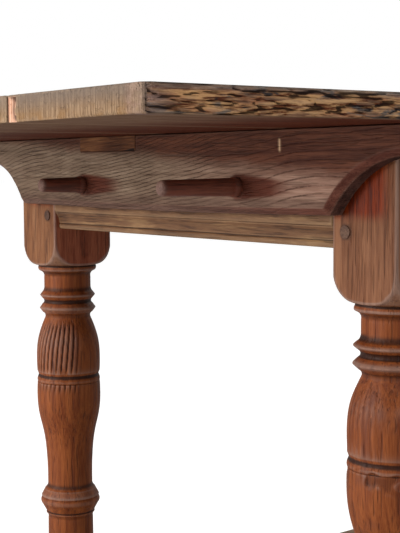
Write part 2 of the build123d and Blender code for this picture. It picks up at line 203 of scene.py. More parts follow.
class Finish:
    """A material, with its Principled shader and one method that adds nodes."""

    def __init__(self, name):
        self.material = bpy.data.materials.new(name)
        self.material.use_nodes = True
        self.tree = self.material.node_tree
        self.shader = self.tree.nodes["Principled BSDF"]

    def node(self, kind, settings=None, values=None, output=0):
        """Add a node: its settings first, then a value or a Wire for each named or numbered socket."""
        made = self.tree.nodes.new(kind)
        for name, setting in (settings or {}).items():
            setattr(made, name, setting)
        for name, value in (values or {}).items():
            if isinstance(value, Wire):
                self.tree.links.new(value.socket, made.inputs[name])
            else:
                made.inputs[name].default_value = value
        return Wire(self, made.outputs[output])

    def place(self):
        """Object coordinates, which are the table's own, in metres."""
        return self.node("ShaderNodeTexCoord", output=3)

    def mark(self, name):
        """A number that the modelling left on every vertex."""
        return self.node("ShaderNodeAttribute", {"attribute_name": name}, output=2)

    def stretch(self, place, scale):
        """The same coordinates scaled, so that a noise read there is drawn out along the grain."""
        return self.node("ShaderNodeMapping", values={"Vector": place, "Scale": scale})

    def noise(self, place, scale, detail=3.0, roughness=0.55, distortion=0.0):
        values = {"Vector": place, "Scale": scale, "Detail": detail}
        values |= {"Roughness": roughness, "Distortion": distortion}
        return self.node("ShaderNodeTexNoise", values=values)

    def blend(self, factor, low, high):
        """Mix two colours by a factor."""
        return self.node("ShaderNodeMix", {"data_type": "RGBA"}, {0: factor, 6: low, 7: high}, output=2)

    def along(self, place, direction):
        """How far a place lies along a direction."""
        settings = {"operation": "DOT_PRODUCT"}
        return self.node("ShaderNodeVectorMath", settings, {0: place, 1: direction}, output=1)

    def finish(self, colour, roughness, height, depth, specular=0.35):
        """Wire colour, roughness and a bump of a given depth in metres to the shader."""
        bump = self.node("ShaderNodeBump", values={"Strength": 1.0, "Distance": depth, "Height": height})
        self.tree.links.new(colour.socket, self.shader.inputs["Base Color"])
        self.tree.links.new(roughness.socket, self.shader.inputs["Roughness"])
        self.tree.links.new(bump.socket, self.shader.inputs["Normal"])
        self.shader.inputs["Specular IOR Level"].default_value = specular
        return self.material


def colour(red, green, blue):
    """A colour given as it looks on a screen, 0 to 255, turned into the shader's linear light."""
    return tuple((level / 255) ** 2.2 for level in (red, green, blue)) + (1.0,)


# %% [markdown]
# ## The stage
# A pale floor, wide enough to run out of sight. It glows a little for the camera alone, so that it meets
# the white behind it without a dark horizon, and throws no extra light up under the top.

# %% Floor
FLOOR_REACH = 60
FLOOR_GREY = 0.6
FLOOR_GLOW = 0.68
shape = bmesh.new()
bmesh.ops.create_grid(shape, x_segments=1, y_segments=1, size=FLOOR_REACH)
floor_mesh = bpy.data.meshes.new("floor")
shape.to_mesh(floor_mesh)
shape.free()
floor = bpy.data.objects.new("floor", floor_mesh)
bpy.context.scene.collection.objects.link(floor)
floor_finish = Finish("pale_floor")
floor_finish.shader.inputs["Base Color"].default_value = (FLOOR_GREY, FLOOR_GREY, FLOOR_GREY, 1)
floor_finish.shader.inputs["Roughness"].default_value = 0.9
floor_finish.shader.inputs["Emission Strength"].default_value = FLOOR_GLOW
lit = floor_finish.node("ShaderNodeLightPath")
floor_finish.tree.links.new(lit.socket, floor_finish.shader.inputs["Emission Color"])
floor_mesh.materials.append(floor_finish.material)

# %% [markdown]
# ## Helpers for worn wood
# Every board and leg is worn the same way. Its shape is divided finely, its points are read into an
# array, and plain sums roll the arrises over and sink the weathered places. A last step marks each point
# with how hollow the surface is there, so that the stain can gather in grooves and the arrises can be
# rubbed pale.


# %% Reading and writing points
def read_points(mesh):
    points = np.zeros(len(mesh.vertices) * 3)
    mesh.vertices.foreach_get("co", points)
    return points.reshape(-1, 3)


def write_points(mesh, points):
    mesh.vertices.foreach_set("co", points.ravel())
    mesh.update()


def write_mark(mesh, name, values):
    """Leave a number on every vertex for the shader to read."""
    mark = mesh.attributes.new(name, "FLOAT", "POINT")
    mark.data.foreach_set("value", np.asarray(values, dtype=np.float32))


def rise(values, start, end):
    """0 at start, 1 at end and smooth between, for arrays."""
    share = np.clip((values - start) / (end - start), 0, 1)
    return share * share * (3 - 2 * share)


def ripple(points, scale, shift=0.0):
    """Smooth noise from -1 to 1 at every point, with its own scale along each axis, in features per metre."""
    stretched = points * np.array(scale) + shift
    return np.array([noise.noise(Vector(point)) for point in stretched])


def soften(points, low, high, radii):
    """Roll the arrises of a box over, with a radius along each axis for every point."""
    inner = np.clip(points, low + radii, high - radii)
    lean = (points - inner) / radii
    length = np.linalg.norm(lean, axis=1, keepdims=True)
    return np.where(length > 1, inner + lean / np.maximum(length, 1e-9) * radii, points)


def mark_hollows(mesh, rounds, reach):
    """Mark each vertex with how far it lies below its smoothed surroundings: + in a groove, - on an arris."""
    edges = np.zeros(len(mesh.edges) * 2, dtype=np.int64)
    mesh.edges.foreach_get("vertices", edges)
    first, second = edges.reshape(-1, 2).T
    points = read_points(mesh)
    count = len(points)
    links = np.bincount(first, minlength=count) + np.bincount(second, minlength=count)
    smooth = points.copy()
    for _ in range(rounds):
        pulled = np.empty_like(smooth)
        for axis in range(3):
            total = np.bincount(first, weights=smooth[second, axis], minlength=count)
            total += np.bincount(second, weights=smooth[first, axis], minlength=count)
            pulled[:, axis] = total / np.maximum(links, 1)
        smooth = pulled
    normals = np.zeros(count * 3)
    mesh.vertices.foreach_get("normal", normals)
    depth = ((smooth - points) * normals.reshape(-1, 3)).sum(axis=1)
    write_mark(mesh, "hollow", np.clip(depth / reach, -1, 1))


def new_piece(name, shape, body, replaced):
    """Make an object from a bmesh, smooth it, let it ride on its body and stand for a frame piece."""
    bmesh.ops.recalc_face_normals(shape, faces=shape.faces)
    mesh = bpy.data.meshes.new(name)
    shape.to_mesh(mesh)
    shape.free()
    mesh.polygons.foreach_set("use_smooth", [True] * len(mesh.polygons))
    piece = bpy.data.objects.new(name, mesh)
    bpy.context.scene.collection.objects.link(piece)
    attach(piece, body)
    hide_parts(replaced)
    return piece


# %% [markdown]
# ## The planks of the top
# Each plank starts as a box and is divided along, across and through. The divisions crowd towards the two
# ends, where the eye comes closest. The long outer edge has weathered into fissures that follow the
# grain, and the ends are rounded and a little ragged.


# %% Divided boxes
def divided_box(low, high, counts):
    """A box of quads, with a number of divisions along each axis."""
    shape = bmesh.new()
    bmesh.ops.create_cube(shape, size=1)
    bmesh.ops.scale(shape, vec=high - low, verts=shape.verts)
    bmesh.ops.translate(shape, vec=(low + high) / 2, verts=shape.verts)
    for axis, count in enumerate(counts):
        lengthwise = []
        for edge in shape.edges:
            run = (edge.verts[1].co - edge.verts[0].co).normalized()
            if abs(run[axis]) > 0.9:
                lengthwise.append(edge)
        bmesh.ops.subdivide_edges(shape, edges=lengthwise, cuts=count - 1, use_grid_fill=True)
    return shape


def crowd_to_ends(points, axis, low, high, amount):
    """Slide divisions along an axis so that they crowd towards both ends."""
    share = (points[:, axis] - low) / (high - low)
    moved = share - amount * np.sin(2 * np.pi * share) / (2 * np.pi)
    points[:, axis] = low + moved * (high - low)


# %% [markdown]
# No two neighbouring planks have the same tone, and their faces are a little uneven. The outer corners are
# worn round. The first plank has lost a chip of its end grain at the front, beside the first seam.

# %% Plank shapes
OUTER_ROUND = 4 * MM
END_ROUND = 2.2 * MM
SEAM_ROUND = 1.3 * MM
CORNER_ROUND = 21 * MM
CORNER_WEAR = 34 * MM
TONES = (0.2, 1.0, 0.0, 0.7)
FISSURE_DEPTH = 5 * MM
END_ROUGHNESS = 1.2 * MM
MARK_WIDTH = 4 * MM
FIRST_DIVISIONS = (480, 60, 18)
OTHER_DIVISIONS = (440, 40, 12)
CROWDING = 0.75
UNEVENNESS = 0.9 * MM
CHIP_WIDTH = 16 * MM
CHIP_DEPTH = 2.4 * MM


def make_plank(number, count):
    """One plank of the top, worn on the sides that are open to weather and hands."""
    node = f"top_plank_{number}"
    low, high = (np.array(side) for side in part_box(node))
    first = number == 1
    last = number == count
    shape = divided_box(Vector(low), Vector(high), FIRST_DIVISIONS if first else OTHER_DIVISIONS)
    plank = new_piece(f"{node}_worn", shape, "table", node)
    mesh = plank.data
    points = read_points(mesh)
    crowd_to_ends(points, 0, low[0], high[0], CROWDING)
    flat = points.copy()

    middle = (low + high) / 2
    near_side = flat[:, 1] < middle[1]
    open_side = np.where(near_side, first, last)
    wander = ripple(flat, (7, 7, 7), number * 3.1)
    side_round = np.where(open_side, OUTER_ROUND * (1 + 0.45 * wander), SEAM_ROUND)
    radii = np.stack([side_round * 0 + END_ROUND * (1 + 0.5 * wander), side_round, side_round], axis=1)
    points = soften(points, low, high, radii)
    if first or last:
        corner_radii = np.where(open_side[:, None], CORNER_ROUND, SEAM_ROUND) * np.ones((len(points), 3))
        spare = np.array((0, 0, CORNER_ROUND))
        points = soften(points, low - spare, high + spare, corner_radii)

    half = (high - low) / 2
    out_y = np.where(near_side, -1.0, 1.0)
    out_x = np.sign(flat[:, 0])
    rim = open_side * rise(np.abs(flat[:, 1] - middle[1]), half[1] - MARK_WIDTH, half[1])
    end = rise(np.abs(flat[:, 0]), high[0] - MARK_WIDTH, high[0])
    up = rise(flat[:, 2], high[2] - MARK_WIDTH, high[2])
    under = rise(flat[:, 2], low[2] + 3 * MM, low[2])

    long_split = rise(np.abs(ripple(flat, (11, 1, 110), number)), 0.2, 0.0)
    long_split *= rise(ripple(flat, (6, 1, 50), 21), -0.3, 0.2)
    short_split = rise(np.abs(ripple(flat, (34, 1, 240), number + 9)), 0.26, 0.0)
    flaked = rise(ripple(flat, (20, 1, 90), 40), 0.05, 0.3)
    erosion = FISSURE_DEPTH * (0.75 * long_split + 0.4 * short_split + 0.35 * flaked)
    points[:, 1] -= out_y * rim * np.minimum(erosion, FISSURE_DEPTH)

    saw = ripple(flat, (2, 170, 12), 5) * 0.45 + ripple(flat, (2, 34, 30), 8) * 0.55
    points[:, 0] -= out_x * end * END_ROUGHNESS * np.clip(0.5 + saw, 0, 1.4)
    broken = np.zeros(len(points))
    if first:
        ragged = CHIP_WIDTH * (1 + 0.18 * ripple(flat, (1, 60, 150), 3))
        broken = (flat[:, 0] < 0) * rise(high[1] - flat[:, 1], ragged, ragged - 2 * MM)
        broken *= rise(np.abs(flat[:, 0]), high[0] - CHIP_DEPTH - 3 * MM, high[0] - CHIP_DEPTH)
        broken *= rise(flat[:, 2], high[2] - 1.5 * MM, high[2] - 3 * MM)
        points[:, 0] += broken * np.clip(high[0] - CHIP_DEPTH - np.abs(points[:, 0]), -CHIP_DEPTH, 0) * -0.9

    corner = open_side * rise(half[1] - np.abs(flat[:, 1] - middle[1]), CORNER_WEAR, 0.4 * CORNER_WEAR)
    corner *= rise(high[0] - np.abs(flat[:, 0]), CORNER_WEAR, 0.3 * CORNER_WEAR)
    uneven = UNEVENNESS * (0.5 + 0.5 * ripple(flat, (2.2, 6, 1), number * 7))
    points[:, 2] -= up * (1 - under) * uneven
    points[:, 2] += under * uneven * 0.6
    points = np.clip(points, low, high)
    write_points(mesh, points)
    mark_hollows(mesh, 6, 1.1 * MM)
    write_mark(mesh, "tone", np.full(len(points), TONES[(number - 1) % len(TONES)]))
    marks = {"rim": rim, "end": end, "under": under, "broken": broken, "corner": corner}
    for name, values in marks.items():
        write_mark(mesh, name, values)
    print(node, "has", len(mesh.polygons), "faces")
    return plank


plank_count = sum(name.startswith("top_plank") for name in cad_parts)
planks = [make_plank(number, plank_count) for number in range(1, plank_count + 1)]

# %% [markdown]
# ## The turned legs
# A turned leg is a profile spun round its axis, and the frame already holds that profile: the highest
# radius at each height of its leg. Spinning it afresh gives even divisions that can be worn. Where the
# leg is a square block, the spun surface is pressed in to the block's four faces, which also makes the
# rounded shoulders that a turner's gouge leaves between square and round.


# %% Profiles from the frame
FINEST_STEP = 0.75 * MM


def ring_profile(node, axis, centre):
    """Distances along a turned piece's axis, and the radius at each."""
    points = read_points(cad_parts[node].data)
    across = np.delete(points, axis, 1) - centre
    distance = np.round(points[:, axis], 4)
    radius = np.hypot(across[:, 0], across[:, 1])
    stations, where = np.unique(distance, return_inverse=True)
    rings = np.zeros(len(stations))
    np.maximum.at(rings, where, radius)
    kept = [0]
    for index in range(1, len(stations)):
        if stations[index] - stations[kept[-1]] >= FINEST_STEP:
            kept.append(index)
    return stations[kept], rings[kept]


def fill_steps(stations, rings, longest):
    """Add stations so that no step along the axis is longer than a given one."""
    filled = [stations[0]]
    for start, end in zip(stations[:-1], stations[1:]):
        steps = max(1, math.ceil((end - start) / longest))
        filled += [start + (end - start) * step / steps for step in range(1, steps + 1)]
    filled = np.array(filled)
    return filled, np.interp(filled, stations, rings)


def spun(stations, rings, axis, centre, steps):
    """A closed surface of revolution about a line along an axis."""
    shape = bmesh.new()
    others = [other for other in range(3) if other != axis]
    profile = [(stations[0], 0.0), *zip(stations, rings), (stations[-1], 0.0)]
    line = []
    for distance, radius in profile:
        spot = [0.0, 0.0, 0.0]
        spot[axis] = distance
        spot[others[0]] = centre[0] + radius
        spot[others[1]] = centre[1]
        line.append(shape.verts.new(spot))
    edges = [shape.edges.new(pair) for pair in zip(line[:-1], line[1:])]
    pivot = [0.0, 0.0, 0.0]
    pivot[others[0]], pivot[others[1]] = centre
    turn = [0.0, 0.0, 0.0]
    turn[axis] = 1.0
    whole = {"angle": 2 * math.pi, "steps": steps, "use_merge": True, "use_duplicate": False}
    bmesh.ops.spin(shape, geom=line + edges, cent=pivot, axis=turn, **whole)
    bmesh.ops.remove_doubles(shape, verts=shape.verts, dist=0.01 * MM)
    return shape


# %% [markdown]
# The blocks are spun a little wider than their corners, so that they can be pressed square later. Under
# the top block the shoulder is cut back to a quarter of an ellipse.

# %% Leg profiles
LEG_STEP = 3.6 * MM
TOP_BLOCK = 152 * MM
SHOULDER_RISE = 9 * MM
SHOULDER_DROP = 29 * MM
COLLAR_RADIUS = 40 * MM
NEARLY_FULL = 0.97
SPARE = 0.02
shoulder = underside - TOP_BLOCK


def leg_profile(node, centre, waist):
    """A leg's stations and radii, full at its blocks, with a quarter ellipse under the top one."""
    stations, rings = ring_profile(node, 2, centre)
    full = stations[rings > NEARLY_FULL * rings.max()]
    top_block = stations >= full[full > waist].min()
    low_block = (stations >= full[full < waist].min()) & (stations <= full[full < waist].max())
    rings[top_block | low_block] = rings.max() * (1 + SPARE)
    stations, rings = fill_steps(stations, rings, LEG_STEP)
    below = np.clip((shoulder + SHOULDER_RISE - stations) / (SHOULDER_RISE + SHOULDER_DROP), 0, 1)
    curve = COLLAR_RADIUS + (block / math.sqrt(2) - COLLAR_RADIUS) * np.sqrt(1 - below**2)
    curve += SPARE * block * (below <= 0)
    return stations, np.where(below < 1, np.minimum(rings, curve), rings)


# %% [markdown]
# Old bulbs open in upright drying checks on one side. They lean a little, and short ones carry on
# under the groove at the bulb's foot. The far legs have them deep. The near legs have them faint, and
# have flaked under that groove.

# %% Drying checks and flakes on the bulb
BULB_TOP = 106 * MM
BULB_FOOT = 184 * MM
CHECK_SPACING = 6.4 * MM
CHECK_RADIUS = 40 * MM
CHECK_LEAN = 0.07
CHECK_WANDER = 2 * MM


def drying_checks(points, down, turn, seed):
    """How far each point lies in one of the upright checks, on the bulb and just under its groove."""
    lean = CHECK_LEAN * (BULB_FOOT - down)
    wander = CHECK_WANDER * ripple(points, (9, 9, 5), seed)
    wave = np.sin((turn * CHECK_RADIUS - lean + wander) * 2 * math.pi / CHECK_SPACING)
    bulb = rise(down, BULB_TOP, BULB_TOP + 14 * MM) * rise(down, BULB_FOOT + 2 * MM, BULB_FOOT - 8 * MM)
    band = BULB_FOOT + 14 * MM
    short = rise(down, band, band + 3 * MM) * rise(down, band + 20 * MM, band + 5 * MM)
    dry_side = rise(turn, -1.4, -1.15) * rise(turn, 0.75, 0.4)
    return (bulb + 0.8 * short) * dry_side * rise(wave, 0.2, 1.0)


def flakes(points, down, seed):
    """How far each point lies in a flake broken out under the bulb's groove."""
    band = BULB_FOOT + 10 * MM
    zone = rise(down, band, band + 4 * MM) * rise(down, band + 34 * MM, band + 14 * MM)
    return zone * rise(ripple(points, (60, 60, 75), seed), 0.0, 0.35)


# %% [markdown]
# The near legs have kept more wood than the far ones, with fuller necks and bulbs and bolder rings. Every
# leg is also a little out of round and dented, and has its faces marked for the stains to come.

# %% Leg shapes
ARRIS_ROUND = 2.2 * MM
OUT_OF_ROUND = 0.5 * MM
DENT_DEPTH = 0.9 * MM
CHECK_DEPTH = 1.5 * MM
FLAKE_DEPTH = 1.5 * MM
FULLER_NECK = 2.0 * MM
FULLER_BULB = 4.0 * MM
RING_TOP = 64 * MM
RING_FOOT = 98 * MM
RING_CHANGE = 0.9 * MM
FRONT_TURNS = 220
BACK_TURNS = 110
PEG_MARK = 10 * MM


def make_leg(node, turns):
    """One leg, spun from its profile, squared at its blocks and knocked about by use."""
    low, high = (np.array(side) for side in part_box(node))
    centre = (low + high)[:2] / 2
    waist = (low[2] + high[2]) / 2
    half = block / 2
    stations, rings = leg_profile(node, centre, waist)
    leg = new_piece(f"{node}_turned", spun(stations, rings, 2, centre, turns), "table", node)
    mesh = leg.data
    points = read_points(mesh)
    seed = float(centre[0] * 7 + centre[1] * 3)
    local = points[:, :2] - centre
    wander = ripple(points, (9, 9, 9), seed)
    radii = (ARRIS_ROUND * (1 + 0.5 * wander))[:, None] * np.ones((1, 2))
    squared = soften(local, np.array([-half, -half]), np.array([half, half]), radii)
    radius = np.maximum(np.linalg.norm(squared, axis=1, keepdims=True), 1e-6)
    down = shoulder - points[:, 2]

    outer = np.sign(centre)
    across = -(local[:, 0] * outer[0] + local[:, 1] * outer[1]) / math.sqrt(2)
    facing = (local[:, 0] * outer[0] - local[:, 1] * outer[1]) / math.sqrt(2)
    checks = drying_checks(points, down, np.arctan2(across, facing), seed)
    sunk = OUT_OF_ROUND * (0.5 + 0.5 * ripple(points, (14, 14, 9), seed + 5))
    sunk += DENT_DEPTH * rise(ripple(points, (38, 38, 24), seed + 11), 0.35, 0.75)
    ringed = rise(down, RING_TOP, RING_TOP + 4 * MM) * rise(down, RING_FOOT, RING_FOOT - 4 * MM)
    ringed *= rise(radius[:, 0], 36 * MM, 41 * MM)
    if node.endswith("near"):
        checks *= 0.25
        flaked = flakes(points, down, seed)
        upper = rise(down, 30 * MM, 36 * MM) * rise(points[:, 2], waist - 60 * MM, waist)
        swelling = rise(down, RING_FOOT, BULB_TOP + 30 * MM)
        sunk -= upper * (FULLER_NECK + (FULLER_BULB - FULLER_NECK) * swelling) + RING_CHANGE * ringed
    else:
        flaked = np.zeros(len(points))
        sunk += RING_CHANGE * ringed
    sunk += CHECK_DEPTH * checks + FLAKE_DEPTH * flaked
    sunk *= rise(underside - points[:, 2], 0, 5 * MM)
    points[:, :2] = squared - squared / radius * sunk[:, None] + centre
    write_points(mesh, points)

    low_square = rise(radius[:, 0], half, half + 3 * MM) * (points[:, 2] < waist)
    write_mark(mesh, "turned", rise(down, 24 * MM, 34 * MM) * (1 - low_square))
    write_mark(mesh, "checks", np.maximum(checks, 0.6 * flaked))
    mark_hollows(mesh, 12, 1.5 * MM)
    mark_block(node, mesh, points, local * outer / half, down)
    print(node, "has", len(mesh.polygons), "faces")
    return leg


def mark_block(node, mesh, points, outward, down):
    """Mark a leg's inward faces, the wood that lay behind a longer batten, and the pegs."""
    inward = (-outward).max(axis=1)
    write_mark(mesh, "inner", rise(inward, 0.96, 1.0) * rise(down, 38 * MM, 24 * MM))
    outer_face = rise(outward[:, 0], 0.95, 1.0)
    high_up = rise(points[:, 2], batten_floor - 10 * MM, batten_floor + 9 * MM)
    write_mark(mesh, "glow", high_up * rise(-outward[:, 1], -1.0, -0.3) * outer_face)
    pegged = np.zeros(len(points))
    for spot_y, spot_z in peg_spots(node):
        away = np.hypot(points[:, 1] - spot_y, points[:, 2] - spot_z)
        pegged = np.maximum(pegged, rise(away, PEG_MARK, 0.75 * PEG_MARK) * outer_face)
    write_mark(mesh, "pegged", pegged)


def peg_spots(node):
    """Where the end rail's pegs come through a leg's outer face."""
    end = "front" if "front" in node else "back"
    pegs = read_points(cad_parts[f"end_rail_pegs_{end}"].data)
    low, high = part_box(node)
    inside = pegs[(pegs[:, 1] > low.y) & (pegs[:, 1] < high.y)]
    middle_height = (inside[:, 2].min() + inside[:, 2].max()) / 2
    spots = []
    for group in (inside[inside[:, 2] < middle_height], inside[inside[:, 2] >= middle_height]):
        low_y, low_z = group[:, 1:].min(axis=0)
        high_y, high_z = group[:, 1:].max(axis=0)
        spots.append(((low_y + high_y) / 2, (low_z + high_z) / 2))
    return spots


batten_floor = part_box("batten_front")[0].z
legs = []
for end, turns in (("front", FRONT_TURNS), ("back", BACK_TURNS)):
    for side in ("near", "far"):
        legs.append(make_leg(f"leg_{end}_{side}", turns))

# %% [markdown]
# ## The draw pins
# The pins are spun from their own profiles too. A whittled pin is never quite round, so its points are
# pulled in and out in long flats along its length.

# %% Pin shapes
PIN_STEP = 2 * MM
PIN_TURNS = 40
PIN_FREE_FROM = 26 * MM
WHITTLE = 0.55 * MM


def make_pin(node):
    """One removable pin, with knife flats and a rounded free end."""
    low, high = (np.array(side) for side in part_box(node))
    centre = (low + high)[1:] / 2
    stations, rings = ring_profile(node, 0, centre)
    stations, rings = fill_steps(stations, rings, PIN_STEP)
    pin = new_piece(f"{node}_whittled", spun(stations, rings, 0, centre, PIN_TURNS), node, node)
    mesh = pin.data
    points = read_points(mesh)
    local = points[:, 1:] - centre
    radius = np.maximum(np.linalg.norm(local, axis=1, keepdims=True), 1e-6)
    seed = float(centre[0] * 31)
    outward = np.sign(low[0] + high[0])
    beyond = points[:, 0] * outward - (abs(front_face) + PIN_FREE_FROM)
    free = rise(beyond, 0, 8 * MM)
    flats = 0.5 + 0.5 * ripple(points, (9, 150, 150), seed)
    points[:, 1:] = centre + local - local / radius * (WHITTLE * flats * (0.25 + 0.75 * free))[:, None]
    write_points(mesh, points)
    mark_hollows(mesh, 6, 0.8 * MM)
    reach = beyond.max()
    write_mark(mesh, "tip", rise(beyond, reach - 7 * MM, reach - 1 * MM))
    return pin


pins = [make_pin(name) for name in sorted(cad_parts) if name.startswith("pin_")]
print("made", len(pins), "pins")

# %% [markdown]
# ## The battens
# A batten is a board with two curved ends and a worn lower arris, and the frame has that shape already. A
# copy of its mesh is welded, rebuilt as an even skin of small squares by the Remesh modifier, and then
# worn. The lower edge has come to belly down a little between the legs.

# %% Batten shapes
SKIN = 1.8 * MM
FACE_SETBACK = 12 * MM
FACE_FADE = 10 * MM
PIN_ROOT_SHADE = 12 * MM
NICK_HALF_WIDTH = 2.2 * MM
NICK_HALF_HEIGHT = 8 * MM
BELLY = 2.5 * MM
FACE_WEAR = 0.8 * MM
PIN_SHADOW_HALF_WIDTH = 13 * MM
PIN_SHADOW_LENGTH = 88 * MM
NICK_PLACE = -233 * MM
NICK_DROP = 17 * MM


def rebuilt_copy(node, name, skin, body="table"):
    """A welded copy of a frame piece, rebuilt as an even skin of small squares."""
    shape = bmesh.new()
    shape.from_mesh(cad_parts[node].data)
    bmesh.ops.remove_doubles(shape, verts=shape.verts, dist=0.01 * MM)
    copy = bpy.data.objects.new(name + "_draft", bpy.data.meshes.new(name + "_draft"))
    shape.to_mesh(copy.data)
    shape.free()
    bpy.context.scene.collection.objects.link(copy)
    remesh = copy.modifiers.new("even_skin", "REMESH")
    remesh.mode = "VOXEL"
    remesh.voxel_size = skin
    graph = bpy.context.evaluated_depsgraph_get()
    even = bmesh.new()
    even.from_object(copy, graph)
    bpy.data.objects.remove(copy)
    return new_piece(name, even, body, node)


def make_batten(end):
    """One batten, bellied, with a painted shadow marked beside each pin and painted shade round its root."""
    node = f"batten_{end}"
    batten = rebuilt_copy(node, f"{node}_worn", SKIN)
    mesh = batten.data
    normals = np.zeros(len(mesh.vertices) * 3)
    mesh.vertices.foreach_get("normal", normals)
    points = read_points(mesh)
    outward = -1 if end == "front" else 1
    lean = normals.reshape(-1, 3)[:, 0] * outward
    face_start = abs(front_face) + FACE_SETBACK
    outer = points[:, 0] * outward > face_start
    write_mark(mesh, "bevel", outer * rise(lean, 0.97, 0.85) * rise(lean, 0.3, 0.5))
    # Faces that turn sideways and down are marked for painted shade.
    write_mark(mesh, "edge", rise(lean, 0.45, 0.2) * rise(lean, -0.6, -0.3))
    depth = np.clip((underside - points[:, 2]) / (underside - batten_floor), 0, 1)
    half_span = (far_joint - near_joint) / 2
    arch = np.clip(1 - (points[:, 1] / half_span) ** 2, 0, 1)
    points[:, 2] -= BELLY * depth * arch
    face = rise(points[:, 0] * outward, face_start, face_start + FACE_FADE)
    wear = 0.5 + 0.5 * ripple(points, (8, 9, 30), 3)
    points[:, 0] -= outward * FACE_WEAR * face * wear
    write_points(mesh, points)
    mark_hollows(mesh, 10, 1.6 * MM)
    # Painted shadow: a streak that each pin casts towards the near side, and a ring of painted shade round
    # the pin's root.
    stain_and_shade = np.zeros(len(points))
    for pin in ("near", "far"):
        low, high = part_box(f"pin_{end}_{pin}")
        centre = (low + high) / 2
        to_side = -outward * (centre.y - points[:, 1]) / PIN_SHADOW_LENGTH
        drop = (centre.z - points[:, 2]) / PIN_SHADOW_HALF_WIDTH
        narrowing = 1.3 - 0.6 * np.clip(to_side, 0, 1.2)
        streak = rise(to_side, -0.1, 0.12) * rise(to_side, 1.2, 0.6)
        streak *= rise(np.abs(drop), narrowing, narrowing - 0.35)
        root_shade = rise(np.hypot(points[:, 1] - centre.y, points[:, 2] - centre.z), PIN_ROOT_SHADE + 4 * MM, PIN_ROOT_SHADE)
        stain_and_shade = np.maximum(stain_and_shade, np.maximum(streak, root_shade))
    write_mark(mesh, "stain_and_shade", stain_and_shade * face)
    nick = rise(np.abs(points[:, 1] - NICK_PLACE * -outward), NICK_HALF_WIDTH, 0.8 * MM)
    nick *= rise(np.abs(underside - NICK_DROP - points[:, 2]), NICK_HALF_HEIGHT, 5 * MM) * face
    write_mark(mesh, "nick", nick)
    pin_shadow_points = int((stain_and_shade * face > 0.5).sum())
    print(node, "has", len(mesh.polygons), "faces,", pin_shadow_points, "shadowed points")
    return batten


battens = {end: make_batten(end) for end in ("front", "back")}

# %% [markdown]
# ## The rails
# A rail is one section drawn along a line: a flat face, then a quirk, a cove and a small bead at the
# lower edge. The section is drawn once as a loop and extruded in short steps, so that the long arrises
# can be worn.

# %% Rail shapes
RAIL_STEP = 5 * MM
RAIL_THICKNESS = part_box("end_rail_front")[1].x - front_face
RAIL_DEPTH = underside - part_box("end_rail_front")[0].z
MOULDING = 24 * MM
RECESS = 9 * MM


def arc_points(start, through, end, steps):
    """Points on the circle through three points, leaving out the first."""
    (ax, ay), (bx, by), (cx, cy) = start, through, end
    scale = 2 * (ax * (by - cy) + bx * (cy - ay) + cx * (ay - by))
    a, b, c = ax * ax + ay * ay, bx * bx + by * by, cx * cx + cy * cy
    x = (a * (by - cy) + b * (cy - ay) + c * (ay - by)) / scale
    y = (a * (cx - bx) + b * (ax - cx) + c * (bx - ax)) / scale
    first = math.atan2(ay - y, ax - x)
    sweep = math.atan2(cy - y, cx - x) - first
    halfway = math.atan2(by - y, bx - x) - first
    sweep = sweep % (2 * math.pi)
    if halfway % (2 * math.pi) > sweep:
        sweep -= 2 * math.pi
    radius = math.hypot(ax - x, ay - y)
    angles = [first + sweep * step / steps for step in range(1, steps + 1)]
    return [(x + radius * math.cos(angle), y + radius * math.sin(angle)) for angle in angles]


def straight_points(start, end, longest):
    """Points along a straight line, leaving out the first."""
    steps = max(1, round(math.dist(start, end) / longest))
    start, end = Vector(start), Vector(end)
    return [tuple(start.lerp(end, step / steps)) for step in range(1, steps + 1)]


def rail_section():
    """The rail's outline as setback and height below the underside, once round."""
    floor = -RAIL_DEPTH
    flat = floor + MOULDING
    bead = floor + 7.2 * MM
    outline = [(0.0, 0.0)]
    outline += straight_points(outline[-1], (0, flat + 1.5 * MM), 4 * MM)
    outline += straight_points(outline[-1], (0.4 * MM, flat), 1.5 * MM)
    outline += straight_points(outline[-1], (2.2 * MM, flat - 0.6 * MM), 1.2 * MM)
    outline += [(1.6 * MM, flat - 1.6 * MM)]
    outline += arc_points(outline[-1], (5 * MM, flat - 6 * MM), (RECESS - 1.6 * MM, bead + 1.4 * MM), 8)
    outline += [(RECESS + 0.4 * MM, bead + 0.6 * MM)]
    outline += arc_points(outline[-1], (RECESS - 2 * MM, floor + 3.6 * MM), (RECESS + 0.6 * MM, floor), 7)
    outline += straight_points(outline[-1], (RAIL_THICKNESS, floor), 5 * MM)
    outline += straight_points(outline[-1], (RAIL_THICKNESS, 0), 9 * MM)
    outline += straight_points(outline[-1], (0, 0), 9 * MM)
    return outline[:-1]


def make_rail(node, inward, reach, span):
    """One rail between two legs: inward is the way in from its outer face, reach how far out that face is."""
    inward = Vector(inward)
    along = inward.cross(Vector((0, 0, 1)))
    start = inward * -reach - along * span / 2 + Vector((0, 0, underside))
    shape = bmesh.new()
    loop = []
    for setback, height in rail_section():
        loop.append(shape.verts.new(start + inward * setback + Vector((0, 0, height))))
    cap = shape.faces.new(loop)
    steps = round(span / RAIL_STEP)
    geometry = list(cap.verts) + list(cap.edges) + [cap]
    run = {"cent": start, "axis": (0, 0, 1), "dvec": along * span / steps, "angle": 0, "steps": steps}
    bmesh.ops.spin(shape, geom=geometry, **run)
    rail = new_piece(f"{node}_moulded", shape, "table", node)
    mesh = rail.data
    points = read_points(mesh)
    wear = 0.5 + 0.5 * ripple(points, (6, 6, 40), 17)
    depth = points @ np.array(inward) + reach
    outer = rise(depth, RAIL_THICKNESS / 2, 0)
    sunk = 0.7 * MM * wear * outer * rise(underside - points[:, 2], 0, 4 * MM)
    points += np.outer(sunk, np.array(inward))
    write_points(mesh, points)
    mark_hollows(mesh, 5, 1.2 * MM)
    return rail


